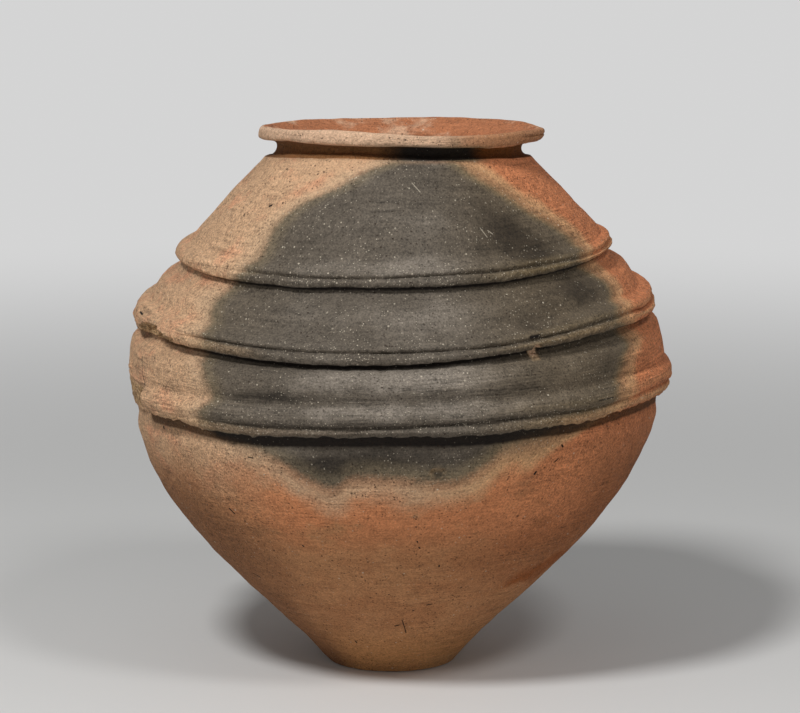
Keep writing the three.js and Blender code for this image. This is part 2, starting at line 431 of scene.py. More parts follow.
def flakeDepth(height):
    radius = plainRadius(lowerCordon["height"])
    end = flake["end"] - flake["endSlant"] * (height - lowerCordon["height"] - 10)
    reach = np.radians(flake["end"] - flake["start"]) * radius
    lost = within(np.radians(end - degrees) * radius, 0, 0.9, 0.35 * reach, reach)
    lost = lost * within(height, flake["bottom"], flake["bottom"] + 8, flake["top"] - 6, flake["top"])
    stub = np.clip(1 - nearSpot(height, flake["stub"])[2] ** 2, 0, 1)
    return flake["depth"] * lost - flake["stubRise"] * stub


def outerUnevenness(points):
    total = 0
    for seed, kind in enumerate(["dents", "pressing", "fingers"], start=5):
        size, depth = handling[kind]
        flatten = 1.0 if kind == "dents" else handling["outsideFlatness"]
        total = total + depth * ripples(points, size, seed, flatten)
    return total


def innerUnevenness(points):
    size, depth = handling["insidePressing"]
    driftSize, drift = handling["coilDrift"]
    turns = points[..., 2] * 2 * math.pi / handling["coilSpacing"]
    coils = np.sin(turns + drift * ripples(points, driftSize, 12))
    return handling["coilDepth"] * coils + depth * ripples(points, size, 13, handling["insideFlatness"])


def roughened(radius, height, inside=False, normal=None):
    # Moves the level form's points out of or into the wall, square to it
    radius, height = allRound(radius, height)
    points = turnedPoints(radius, height)
    if normal is None:
        slope = plainSlope(height)
        normal = [part / np.hypot(1, slope) for part in (1, -slope)]
    if inside:
        shift = -innerUnevenness(points)
    else:
        shift = outerUnevenness(points) - spallDepth(height) - flakeDepth(height)
    return radius + normal[0] * shift, height + normal[1] * shift


def bentByHand(points):
    x, y, height = points[..., 0], points[..., 1], points[..., 2]
    lean, frontDip, sideRise = (
        curveThrough(strays[:, 0], strays[:, column], height) for column in (1, 2, 3)
    )
    return np.stack([x + lean, y, height + frontDip * y + sideRise * x], axis=-1)


# Building a piece from rings. A stretch is a run of rings with the same masks, and a piece goes
# round its section from stretch to stretch. Where two stretches meet there is a sharp edge.
# One of these masks darkens the clay: painted shade under the cordons and the lip and in the grooves, and
# grime on the pebble and the lip's facet
maskNames = ["core", "crevice", "rub", "inside", "loose"]


def stretch(radius, height, **masks):
    radius, height = allRound(radius, height)
    made = {"radius": radius, "height": height}
    for name in maskNames:
        made[name] = np.broadcast_to(masks.get(name, 0.0), radius.shape)
    return made


def clayStretch(radius, height, inside=False, **masks):
    return stretch(*roughened(radius, height, inside), inside=float(inside), **masks)


def between(first, second, rows=3):
    # A hidden stretch straight from the last ring of one stretch to the first of the next
    start = [first[key][-1] for key in ("radius", "height")]
    end = [second[key][0] for key in ("radius", "height")]
    return stretch(*blend(start, end, np.linspace(0, 1, rows)[:, None]))


def ringPiece(name, slotName, stretches, capped=False):
    count = len(around)
    rings = {key: [] for key in ["radius", "height", *maskNames]}
    corners = []
    for made in stretches:
        first = 0 if not corners else 1  # each stretch starts on the ring that ended the last one
        for key, rows in rings.items():
            rows.extend(made[key][first:])
        corners.append(len(rings["radius"]) - 1)
    if capped:
        corners.append(0)
    else:
        for rows in rings.values():
            rows.pop()  # the section closes on its first ring
        corners[-1] = 0
    rings = {key: np.array(rows) for key, rows in rings.items()}
    rows = len(rings["radius"])
    level = turnedPoints(rings["radius"], rings["height"])
    placed = bentByHand(level).reshape(-1, 3) * mm

    ring = np.arange(rows - 1 if capped else rows)
    here = (ring[:, None] * count + np.arange(count)).ravel()
    beside = (ring[:, None] * count + (np.arange(count) + 1) % count).ravel()
    total = rows * count
    faces = np.stack([here, beside, (beside + count) % total, (here + count) % total], axis=1).tolist()
    if capped:
        faces.append(list(range(count))[::-1])
        faces.append(list(range(total - count, total)))
    mesh = bpy.data.meshes.new(name)
    mesh.from_pydata(placed, [], faces)
    mesh.validate()
    mesh.shade_smooth()

    edges = np.empty(len(mesh.edges) * 2, dtype=np.int32)
    mesh.edges.foreach_get("vertices", edges)
    ringOf = edges.reshape(-1, 2) // count
    sharp = (ringOf[:, 0] == ringOf[:, 1]) & np.isin(ringOf[:, 0], corners)
    mesh.attributes.new("sharp_edge", "BOOLEAN", "EDGE").data.foreach_set("value", sharp)

    place = mesh.attributes.new("clayPlace", "FLOAT_VECTOR", "POINT")
    place.data.foreach_set("vector", (level.reshape(-1, 3) * mm).ravel())
    for key in maskNames:
        mask = mesh.attributes.new(key, "FLOAT", "POINT")
        mask.data.foreach_set("value", rings[key].ravel())

    piece = bpy.data.objects.new(name, mesh)
    bpy.context.scene.collection.objects.link(piece)
    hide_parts(name)
    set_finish(piece, slotName)
    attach(piece, "root")
    print("Made", name, "with", len(mesh.polygons), "faces")
    return piece


# Cordon faces
def cordonEdges(cordon):
    # Heights at which the cordon's underside and its upper edge meet the wall
    grooveStray = alongTable(cordon["grooveStray"])
    lipStray = alongTable(cordon["lipStray"])
    crisp = alongTable(creaseCrispness)
    root = cordon["height"] - cordon["lipDrop"] + cordon["rootLift"] + lipStray
    crease = cordon["height"] + cordon["creaseRise"] + (1 - crisp) * softRise + 0.7 * grooveStray
    return root, crease, crisp, grooveStray, lipStray


def seatLine(cordon, shares, depth=0):
    # A line behind the cordon, pressed this far into the wall
    share = np.asarray(shares)[:, None]
    root, crease = cordonEdges(cordon)[:2]
    radius, height = blend([skinRadius(root), root], [skinRadius(crease), crease], share)
    return radius - depth * np.sin(math.pi * share), height


# The cordons' unevenness, as the wavelength and the depth of each kind
cordonTexture = {
    "ridge": [(26, 0.7), (9, 0.5)],
    "lip": [(18, 0.6), (6.5, 0.6)],
    "groove": [(32, 0.25)],
    "fullness": [(70, 0.35)],
    "skin": [(7, 0.16), (3.6, 0.09)],
    "rowStep": 0.7,
}


def cordonFace(cordon):
    groove = cordon["height"]
    wallAt = plainRadius(groove)

    def ragged(kind, firstSeed, points=None):
        total = 0
        for seed, (size, depth) in enumerate(cordonTexture[kind], start=cordon["seed"] + firstSeed):
            waves = alongRing(wallAt, size, seed) if points is None else ripples(points, size, seed)
            total = total + depth * waves
        return total

    root, crease, crisp, grooveStray, lipStray = cordonEdges(cordon)
    ridgeRagged = cordon["ridgeRagged"] * ragged("ridge", 1)
    lipRagged = cordon["lipRagged"] * ragged("lip", 3)
    grooveCut = cordon["grooveCut"] + ragged("groove", 5)
    pressed = np.clip(alongTable(cordon["grooveShare"]), 0, 1)
    plain = 1 - pressed

    bulge = wallAt + cordon["upperProud"] + ragged("fullness", 6)
    ridge = wallAt + cordon["lowerProud"] + ridgeRagged
    lip = wallAt + cordon["lipProud"] + 0.6 * ridgeRagged
    edge = skinRadius(crease)
    rootRadius = skinRadius(root)
    upper = groove + grooveStray
    lower = groove + lipStray
    lipBottom = lower - cordon["lipDrop"]
    faceBottom = 0.5 * (upper + lower) - cordon["lowerDrop"] + 0.2 * lipRagged
    faceTop = upper + cordon["upperRise"]
    grooveFoot = 0.5 * (cordon["lowerDrop"] + cordon["grooveBelow"])
    swell = crease - faceTop
    turnIn = crease - (0.3 - 0.16 * crisp) * swell

    def facePoint(grooved, at):
        # A point of the face, where the groove is pressed in and where it isn't
        share = (at - faceBottom) / (faceTop - faceBottom)
        straight = ridge + (bulge - ridge) * share + 0.5 * np.sin(math.pi * share)
        return grooved * pressed + straight * plain, at

    section = [
        (rootRadius, root),
        (0.35 * rootRadius + 0.65 * lip, lipBottom + 0.35 * cordon["rootLift"]),
        (lip - 0.25, lipBottom + 0.05 + 0.5 * lipRagged),
        (lip + 0.3, lipBottom + 0.8 + 0.5 * lipRagged),
        (0.45 * lip + 0.55 * ridge + 0.2 + 0.2 * plain, 0.5 * (lipBottom + lower - cordon["lowerDrop"])),
        (ridge, faceBottom),
        facePoint(ridge - 0.25, 0.3 * lower + 0.7 * upper - grooveFoot),
        facePoint(ridge - 0.6, upper - 0.6 * cordon["grooveBelow"] - 0.2),
        facePoint(wallAt + cordon["grooveProud"] - grooveCut, upper),
        facePoint(bulge - 0.45, upper + 0.6 * cordon["grooveAbove"] + 0.2),
        (bulge, faceTop),
        (edge + (0.62 + 0.2 * crisp) * (bulge - edge), faceTop + (0.36 + 0.1 * crisp) * swell),
        (skinRadius(turnIn) + 0.25 + 1.6 * crisp, turnIn),
        (edge, crease),
    ]
    radius, height = np.array([allRound(*point) for point in section]).transpose(1, 0, 2)
    steps = np.hypot(np.diff(radius, axis=0), np.diff(height, axis=0)).mean(axis=1)
    stations = np.concatenate([[0], np.cumsum(steps)])
    at = np.linspace(0, stations[-1], round(stations[-1] / cordonTexture["rowStep"]))
    radius = curveThrough(stations, radius, at)
    height = curveThrough(stations, height, at)
    at = at[:, None]
    rough = ragged("skin", 7, turnedPoints(radius, height))
    radius = radius + rough * within(at, *stations[[1, 2, 9, 11]])
    # Painted shade on the lip's underside, and the groove painted darker
    underside = 1 - smoothStep(at, *stations[[2, 3]])
    hollow = pressed * within(at, *stations[[6, 8, 8, 10]])
    crest = np.exp(-((at - stations[5]) / 1.6) ** 2) + 0.4 * np.exp(-((at - stations[10]) / 2.5) ** 2)
    strip = within(at, *stations[[2, 4, 6, 8]])
    masks = {
        "core": 0.6 * strip * np.clip(alongTable(cordon["crust"]), 0, 1),
        "crevice": np.maximum(cordon["grooveDarkening"] * hollow, underside),
        "rub": crest * (0.25 + 0.75 * pressed),
        "loose": np.maximum(0.5 * crest, hollow),
    }
    return radius, height, masks


# The stretch that has broken off the lower cordon. Its near end runs straight down and then slants
# across the ridge, and above it a thin remnant of the strip is left.
breakage = {
    "start": 164,
    "end": 204.4,
    "slant": 0.28,
    "slantBelow": 3.5,
    "remnantAbove": 14,
    "left": 0.9,
    "raggedness": 0.22,
    "roughSizes": (13, 5),
    "scarRoughness": 0.3,
    "edge": 0.6,
    "coreRise": (-8, -2, 9, 13),
}

# Chips in the middle cordon's lip. Length and height are from the chip's middle.
chips = [
    {"azimuth": 204.4, "length": 28, "height": 7.2, "depth": 5.4, "drop": 3.8, "fresh": 0, "seed": 71},
    {"azimuth": 301.6, "length": 3.9, "height": 6.4, "depth": 5.2, "drop": 7.6, "fresh": 1, "seed": 73},
]
# How rough the chips are, as the wavelength and the share of each kind
chipRough = {"edge": [(15, 0.08), (6, 0.05)], "face": (4, 0.16)}


def paintedChipLight(height):
    # Painted light: the wall below the smaller chip, laid bare to the light, is painted pale like fresh
    # core
    chip = chips[1]
    along = np.radians(degrees - chip["azimuth"]) * plainRadius(middleCordon["height"])
    below = middleCordon["height"] - middleCordon["lipDrop"] - height
    return (1 - smoothStep(np.abs(along), 2.5, 4)) * (1 - smoothStep(below, 4, 7))


def breakOff(cordon, radius, height, masks):
    share = np.linspace(0, 1, len(radius))[:, None]
    points = turnedPoints(radius, height)
    coarseSize, fineSize = breakage["roughSizes"]
    rough = ripples(points, coarseSize, 81) + 0.6 * ripples(points, fineSize, 82)
    left = breakage["left"] + breakage["scarRoughness"] * rough
    scar = seatLine(cordon, share[:, 0])[0] + left * np.sin(math.pi * share)
    rise = height - cordon["height"]
    below = np.clip(breakage["slantBelow"] - rise, 0, None)
    ragged = breakage["raggedness"] * rough
    perDegree = math.radians(plainRadius(cordon["height"]))
    pastStart = (degrees - breakage["start"]) * perDegree + 3 * ragged
    beforeEnd = (breakage["end"] + breakage["slant"] * below - degrees) * perDegree + ragged
    belowRemnant = breakage["remnantAbove"] - rise + ragged
    lost = smoothStep(np.minimum(np.minimum(pastStart, beforeEnd), belowRemnant), 0, breakage["edge"])
    bare = within(rise, *breakage["coreRise"])
    # Painted shadow on the wall under the broken strip's end, in place of the bare core
    paintedEndShadow = lost * smoothStep(degrees, 202, 204) * (1 - smoothStep(rise, 0, breakage["slantBelow"] + 1))
    masks = {name: mask * (1 - lost) for name, mask in masks.items()}
    masks["core"] = masks["core"] + lost * bare * (1 - paintedEndShadow)
    masks["crevice"] = np.maximum(masks["crevice"], paintedEndShadow)
    return radius + (np.minimum(radius, scar) - radius) * lost, height, masks


def knockChip(cordon, chip, radius, height, masks):
    along = np.radians(degrees - chip["azimuth"]) * plainRadius(cordon["height"])
    up = height - (cordon["height"] - chip["drop"])
    points = turnedPoints(radius, height)
    away = np.hypot(along / chip["length"], up / chip["height"])
    for index, (size, share) in enumerate(chipRough["edge"]):
        away = away + share * ripples(points, size, chip["seed"] + index)
    size, share = chipRough["face"]
    face = 1 + share * ripples(points, size, chip["seed"] + 2)
    cut = chip["depth"] * np.clip(1 - away ** 2, 0, 1) ** 0.6 * face
    seat = seatLine(cordon, np.linspace(0, 1, len(radius)))[0]
    chipped = np.maximum(radius - cut, np.minimum(seat + 0.4, radius))
    opened = smoothStep(radius - chipped, 0.2, 1.2)
    core = np.maximum(masks["core"], opened)
    masks = {
        "core": core,
        "crevice": masks["crevice"] * (1 - core),
        "rub": masks["rub"] * (1 - core) + chip["fresh"] * opened,
        "loose": masks["loose"],
    }
    return chipped, height, masks


def makeCordon(cordon):
    radius, height, masks = cordonFace(cordon)
    if cordon is lowerCordon:
        radius, height, masks = breakOff(cordon, radius, height, masks)
    if cordon is middleCordon:
        for chip in chips:
            radius, height, masks = knockChip(cordon, chip, radius, height, masks)
    face = clayStretch(radius, height, **masks)
    back = clayStretch(*seatLine(cordon, np.linspace(1, 0, 6), 1.2))
    return ringPiece(cordon["node"], "smoked_clay", [face, back])


# Wall courses
courses = [
    {"node": "foot_wall", "top": 66, "slot": "orange_clay"},
    {"node": "lower_wall", "top": 132, "slot": "orange_clay"},
    {"node": "flare_wall", "top": lowerCordon["height"], "slot": "orange_clay"},
    {"node": "belly_wall", "top": middleCordon["height"], "slot": "smoked_clay"},
    {"node": "upper_belly_wall", "top": upperCordon["height"], "slot": "smoked_clay"},
    {"node": "shoulder_wall", "top": wall["shoulderHeight"], "slot": "buff_clay"},
]
courseBuild = {
    "footing": 11,
    "jointClimb": 5,
    "outerStep": 2.3,
    "innerStep": 5.5,
    "seatDepth": 1.5,
    "innerFillet": 5,
    "filletHeight": 6,
}


def cordonAt(height):
    return next((cordon for cordon in cordons if cordon["height"] == height), None)


def fillet(height):
    above = (height - courseBuild["footing"]) / courseBuild["filletHeight"]
    return courseBuild["innerFillet"] * np.exp(-np.clip(above, 0, None) * 1.6)


def insideRing(height):
    return innerRadius(height) - fillet(height)


def makeCourse(course, bottom, bottomClimb, topClimb):
    lowerEdge, upperEdge = cordonAt(bottom), cordonAt(course["top"])
    stretches = []
    start, end = allRound(bottom, course["top"])
    if lowerEdge:
        stretches.append(clayStretch(*seatLine(lowerEdge, [0.5, 0.75, 1], courseBuild["seatDepth"])))
        start = cordonEdges(lowerEdge)[1]
    if upperEdge:
        end = cordonEdges(upperEdge)[0]
    rows = round(float(np.mean(end - start)) / courseBuild["outerStep"])
    height = start + (end - start) * np.linspace(0, 1, rows + 1)[:, None]
    pebble = pebbleMask(height)
    # The pebble is dark grey, and painted shade darkens the wall under the cordon above, in a band as
    # tall as the shadow of its lip
    shadeAndPebble = 0.6 * pebble
    if upperEdge:
        band = 1 - smoothStep(end - height, 0.65 * upperEdge["shadeBand"], upperEdge["shadeBand"])
        shadeAndPebble = np.maximum(shadeAndPebble, band * np.clip(alongTable(upperEdge["shadeAndSoot"]), 0, 1))
    # Below the smaller chip the wall is painted pale and loses its painted shade, as painted light
    bare = paintedChipLight(height) if upperEdge is middleCordon else 0.0
    core = np.maximum(0.55 * burstMask(height) * (1 - pebble), bare)
    masks = {"core": core, "crevice": shadeAndPebble * (1 - bare), "rub": bare}
    stretches.append(clayStretch(skinRadius(height), height, **masks))
    if upperEdge:
        stretches.append(clayStretch(*seatLine(upperEdge, [0, 0.25, 0.5], courseBuild["seatDepth"])))
    innerTop = course["top"] + topClimb
    innerBottom = bottom + bottomClimb
    rows = round((innerTop - innerBottom) / courseBuild["innerStep"])
    height = np.linspace(innerTop, innerBottom, rows + 1)[:, None]
    inner = clayStretch(insideRing(height), height, inside=True)
    stretches += [between(stretches[-1], inner), inner, between(inner, stretches[0])]
    return ringPiece(course["node"], course["slot"], stretches)


# Base
base = {
    "edge": 1.6,
    "sideHeights": (3, 5, 7, 9),
    "hollow": 0.5,
    "rings": 9,
    "roughness": (14, 0.16),
    "floorRings": 14,
    "swirl": (13, 0.35),
    "floorRoughness": (18, 0.25),
}


def makeBase():
    top = courseBuild["footing"]
    heights = np.array([base["edge"], *base["sideHeights"], top])[:, None]
    side = clayStretch(skinRadius(heights), heights, rub=0.3)

    # The underside, slightly hollow, and its rounded edge
    share = np.linspace(0.01, 1, base["rings"])[:, None]
    radius = share * (wall["baseRadius"] - 0.4 * base["edge"] - 1.4)
    size, rough = base["roughness"]
    rough = rough * (1 + ripples(turnedPoints(radius, 0), size, 91))
    lift = base["hollow"] * (1 - share ** 4) + rough * (1 - share ** 6)
    under = stretch(radius, np.clip(lift, 0.02, None), rub=0.2)
    angle = np.linspace(0, math.pi / 2, 5)[:, None]
    radii, rises = ((under[key][-1], side[key][0]) for key in ("radius", "height"))
    edgeRadius = radii[0] + (radii[1] - radii[0]) * np.sin(angle)
    edgeHeight = rises[0] + (rises[1] - rises[0]) * (1 - np.cos(angle))
    edge = stretch(edgeRadius, edgeHeight, rub=0.6)

    # The floor inside
    floorEdge, floorLevel = roughened(insideRing(top), top, inside=True)
    share = np.linspace(1, 0.01, base["floorRings"])[:, None]
    radius = floorEdge * share
    spacing, swirl = base["swirl"]
    size, rough = base["floorRoughness"]
    swirl = swirl * np.sin(radius * 2 * math.pi / spacing + around)
    swirl = swirl + rough * ripples(turnedPoints(radius, 0), size, 92)
    floor = stretch(radius, floorLevel + swirl * (1 - share ** 8), inside=1.0)
    stretches = [under, edge, side, between(side, floor), floor]
    return ringPiece("base_disc", "orange_clay", stretches, capped=True)


# Rim. topStray, bottomStray and neckStray are how far the lip's edges and the foot of the neck rise
# above level at these azimuths.
rim = {
    "lipWave": (75, 0.25),
    "undersideWave": (34, 0.2),
    "lipRagged": (8, 0.12),
    "facetStart": 322,
    "facetEnd": 334,
    "facetStop": 40,
    "facetDepth": 0.75,
    "facetDirt": 0.85,
    "rowStep": 0.7,
    "topStray": [
        (0, 0), (60, 0.8), (120, -0.5), (180, 0), (205, -0.1), (231, 0.5), (245, 1.1), (261, -0.3),
        (284, -1.4), (310, -0.8), (327, 0),
    ],
    "bottomStray": [
        (0, 1), (60, 0), (120, 0.5), (180, 0), (196, -0.1), (232, 0.3), (262, -0.9), (296, -2.7),
        (310, -3.1), (330, -0.4), (350, 1.1),
    ],
    "neckStray": [(0, 0), (180, 0), (215, 1.2), (250, 1.6), (280, 0.8), (310, -0.8), (340, -1.2)],
}
# The rim's section as radius and height, both from the shoulder's corner
rimSection = [
    (0, 0), (-1.2, 1.0), (-4.8, 1.8), (-7.2, 3.6), (-8.2, 6.6), (-7.4, 9.4), (-3.4, 11.3),
    (2.6, 12.1), (4.9, 12.7), (5.9, 14.6), (6.0, 17.0), (5.7, 19.3), (4.5, 20.9), (2.3, 21.4),
    (-2.8, 19.4), (-8.5, 17.0), (-13.2, 15.0), (-15.6, 12.4), (-16.4, 8.5), (-15.6, 4), (-12.6, 0),
]
rimMarks = {
    "neckFoot": 2, "neck": 4, "underside": 6, "lowerEdge": 8, "face": 10, "upperEdge": 12, "throat": 16,
}


def makeRim():
    section = np.array(rimSection, dtype=float) + (wall["shoulderRadius"], wall["shoulderHeight"])
    section[-1, 0] = insideRing(wall["shoulderHeight"])
    stations = np.concatenate([[0], np.cumsum(np.hypot(*np.diff(section, axis=0).T))])
    at = np.linspace(0, stations[-1], round(stations[-1] / rim["rowStep"]))
    line = curveThrough(stations, section, at)
    marks = {name: stations[index] for name, index in rimMarks.items()}
    ahead = np.gradient(line, axis=0)
    ahead /= np.linalg.norm(ahead, axis=1)[:, None]
    out, up = ahead[:, 1:2], -ahead[:, 0:1]  # square to the section, out of the clay
    at = at[:, None]

    def bell(name, width):
        return np.exp(-((at - marks[name]) / width) ** 2)

    def waves(kind, seed):
        size, depth = rim[kind]
        return depth * alongRing(100, size, seed)

    # Waves in the lip, a facet worn on its face, and its uneven edges
    lipShare = within(at, marks["neck"], marks["lowerEdge"], marks["throat"], at[-1])
    wave = waves("lipWave", 95) * lipShare
    underside = waves("undersideWave", 96) + waves("lipRagged", 97)
    facet = np.maximum(
        smoothStep(degrees, rim["facetStart"], rim["facetEnd"]),
        1 - smoothStep(degrees, 12, rim["facetStop"]),
    ) * bell("face", 0.5)
    shift = wave + underside * bell("lowerEdge", 2.2) - rim["facetDepth"] * facet
    radius = line[:, 0:1] + out * shift
    height = line[:, 1:2] + up * shift
    raised = within(at, marks["face"], marks["upperEdge"], marks["upperEdge"], marks["throat"])
    height = height + alongTable(rim["topStray"]) * raised
    height = height + alongTable(rim["bottomStray"]) * bell("lowerEdge", 4.5)
    height = height + alongTable(rim["neckStray"]) * bell("neckFoot", 3.2)

    # The first ring is the shoulder's last one, outside, and the last ring is its last one inside
    skin = roughened(radius, height, normal=(out, up))
    skin = blend(skin, roughened(radius, height), 1 - smoothStep(at, 0, 4))
    lining = roughened(radius, height, inside=True, normal=(-out, -up))
    lining = blend(lining, roughened(radius, height, inside=True), smoothStep(at, at[-1] - 6, at[-1]))
    radius, height = blend(skin, lining, smoothStep(at, marks["throat"] - 8, marks["throat"]))

    # Painted shade on the neck under the lip, and grime in the worn facet
    under = within(at, 0, 1.5, marks["underside"], marks["lowerEdge"])
    surface = stretch(
        radius,
        height,
        rub=0.6 * bell("lowerEdge", 1.4) + 0.5 * bell("upperEdge", 1.6),
        crevice=np.maximum(under, rim["facetDirt"] * facet),
        inside=smoothStep(at, marks["upperEdge"] + 1.5, marks["upperEdge"] + 3),
    )
    return ringPiece("everted_rim", "buff_clay", [surface, between(surface, surface)])


pieces = [makeBase()]
bottom, bottomClimb = courseBuild["footing"], 0
for course in courses:
    topClimb = courseBuild["jointClimb"] if course["top"] < wall["shoulderHeight"] else 0
    pieces.append(makeCourse(course, bottom, bottomClimb, topClimb))
    bottom, bottomClimb = course["top"], topClimb
pieces.append(makeRim())
pieces += [makeCordon(cordon) for cordon in cordons]
print("Pieces shaped:", len(pieces))


# Shader helpers. A wire is a value in a shader, and a sum written with wires becomes math nodes.
class Wire:
    def __init__(self, socket):
        self.socket = socket

    def __add__(self, other):
        return calc("ADD", self, other)

    def __sub__(self, other):
        return calc("SUBTRACT", self, other)

    def __rsub__(self, other):
        return calc("SUBTRACT", other, self)

    def __mul__(self, other):
        return calc("MULTIPLY", self, other)

    def __truediv__(self, other):
        return calc("DIVIDE", self, other)


def feed(socket, value):
    # Puts a wire, a colour by its name or a plain value into a socket
    if isinstance(value, Wire):
        socket.id_data.links.new(value.socket, socket)
    elif isinstance(value, str):
        socket.default_value = hexColour(clayColours[value])
    else:
        socket.default_value = value


def addNode(kind, inputs, output=0, **settings):
    # Adds a node to the tree that its wires are in, and gives one of its outputs as a wire
    tree = next(value.socket.id_data for value in inputs.values() if isinstance(value, Wire))
    made = tree.nodes.new("ShaderNode" + kind)
    for name, setting in settings.items():
        setattr(made, name, setting)
    for name, value in inputs.items():
        feed(made.inputs[name], value)
    return Wire(made.outputs[output])


def allOutputs(wire):
    return [Wire(socket) for socket in wire.socket.node.outputs]


def calc(operation, *values):
    return addNode("Math", dict(enumerate(values)), operation=operation)


def vectorCalc(operation, inputs, output="Vector"):
    return addNode("VectorMath", inputs, output, operation=operation)


def fade(value, low, high):
    inputs = {"Value": value, "From Min": low, "From Max": high}
    return addNode("MapRange", inputs, "Result", interpolation_type="SMOOTHSTEP")


def mix(share, first, second):
    return addNode("Mix", {0: share, 6: first, 7: second}, 2, data_type="RGBA")


def noise(place, size, detail, roughness=0.5):
    inputs = {"Vector": place, "Scale": 1 / (size * mm), "Detail": detail, "Roughness": roughness}
    return addNode("TexNoise", inputs, "Fac")


def distance(across, up):
    return calc("SQRT", across * across + up * up)


def hexColour(text):
    # A colour as it looks on the screen, to the renderer's linear values
    parts = [int(text[index:index + 2], 16) / 255 for index in (0, 2, 4)]
    linear = [part / 12.92 if part <= 0.04045 else ((part + 0.055) / 1.055) ** 2.4 for part in parts]
    return (*linear, 1.0)


def newGroup(name, **inputs):
    # A node group, and its inputs as wires. An input of None is a place on the clay.
    group = bpy.data.node_groups.new(name, "ShaderNodeTree")
    for label, value in inputs.items():
        kind = "NodeSocketVector" if value is None else "NodeSocketFloat"
        socket = group.interface.new_socket(label, in_out="INPUT", socket_type=kind)
        if value is not None:
            socket.default_value = value
    start = group.nodes.new("NodeGroupInput")
    return [group] + [Wire(start.outputs[label]) for label in inputs]


def finishGroup(group, **outputs):
    for label in outputs:
        kind = "NodeSocketColor" if label == "Color" else "NodeSocketFloat"
        group.interface.new_socket(label, in_out="OUTPUT", socket_type=kind)
    end = group.nodes.new("NodeGroupOutput")
    for label, value in outputs.items():
        feed(end.inputs[label], value)
    return group


def useGroup(group, **inputs):
    wires = allOutputs(addNode("Group", inputs, node_tree=group))
    return wires if len(wires) > 1 else wires[0]


def bearing(place):
    # The turn from the front in radians, to the right as seen from there, the radius, and x and z
    x, y, z = allOutputs(addNode("SeparateXYZ", {0: place}))
    return calc("ARCTAN2", x, y * -1), distance(x, y), x, z


def spots(place, spacing, small, large):
    # Round spots about this far apart: a mask, and two random values that each spot has
    cells = addNode("TexVoronoi", {"Vector": place, "Scale": 1 / (spacing * mm)})
    fromMiddle, cellColour = allOutputs(cells)[:2]
    chosen, size, shade = allOutputs(addNode("SeparateColor", {0: cellColour}))
    size = size * ((large - small) / spacing) + small / spacing
    return fade(fromMiddle, size, size * 0.6), chosen, shade


# The fabric of the clay: pale grit, pits where grit fell out, and the marks of wiping. Noise is
# given by its size in millimetres, its detail and its roughness.
fabric = {
    "coarse": (4.0, 0.35, 0.9),
    "fine": (1.9, 0.3, 0.62),
    "fineGrit": 0.5,
    "finePits": 0.9,
    "clumps": (24, 2),
    "gritClumps": (0.34, 0.66),
    "pitClumps": (0.62, 0.4),
    "grain": (1.4, 2, 0.75),
    "lumps": (5, 3, 0.6),
    "streaks": (1.7, 2, 0.6),
    "streakStretch": (0.05, 0.05, 1.0),
    "patches": (40, 1),
    "patchEdges": (0.42, 0.6),
    "wipedHeights": (196, 206, 240, 226),
    "wipedMore": 0.6,
    "lumpTone": 0.4,
    "wipedTone": 0.5,
    "gritRise": 0.15,
    "pitDepth": 0.8,
    "wipedDepth": 0.55,
    "grainDepth": 0.5,
    "lumpDepth": 0.9,
}


def makeFabricGroup():
    group, place, gritShare, pitShare, wiping, contrast = newGroup(
        "Clay fabric", Place=None, Grit=0.3, Pits=0.2, Wiping=0.5, Contrast=1.0
    )
    clumps = noise(place, *fabric["clumps"])
    gritShare = gritShare * fade(clumps, *fabric["gritClumps"])
    pitShare = 1 - pitShare * fade(clumps, *fabric["pitClumps"])
    coarse, chosen, shade = spots(place, *fabric["coarse"])
    fine, fineChosen, _ = spots(place, *fabric["fine"])
    grit = coarse * (shade * 0.7 + 0.3) * calc("LESS_THAN", chosen, gritShare)
    fineGrit = fine * calc("LESS_THAN", fineChosen, gritShare) * fabric["fineGrit"]
    grit = calc("MAXIMUM", grit, fineGrit)
    pits = coarse * calc("GREATER_THAN", chosen, pitShare)
    finePits = fine * calc("GREATER_THAN", fineChosen, pitShare) * fabric["finePits"]
    pits = calc("MAXIMUM", pits, finePits)

    streakPlace = vectorCalc("MULTIPLY", {0: place, 1: fabric["streakStretch"]})
    streaks = noise(streakPlace, *fabric["streaks"]) - 0.5
    patches = fade(noise(place, *fabric["patches"]), *fabric["patchEdges"])
    height = bearing(place)[3] / mm
    heights = fabric["wipedHeights"]
    wiped = fade(height, *heights[:2]) * fade(height, *heights[2:]) * fabric["wipedMore"]
    wiping = streaks * wiping * (wiped + patches)
    grain = noise(place, *fabric["grain"]) - 0.5
    lumps = noise(place, *fabric["lumps"]) - 0.5
    tone = (grain + lumps * fabric["lumpTone"] + wiping * fabric["wipedTone"]) * contrast + 1
    height = grit * fabric["gritRise"] - pits * fabric["pitDepth"] + wiping * fabric["wipedDepth"]
    height = height + grain * fabric["grainDepth"] + lumps * fabric["lumpDepth"]
    return finishGroup(group, Grit=grit, Pits=pits, Tone=tone, Grain=grain, Height=height)


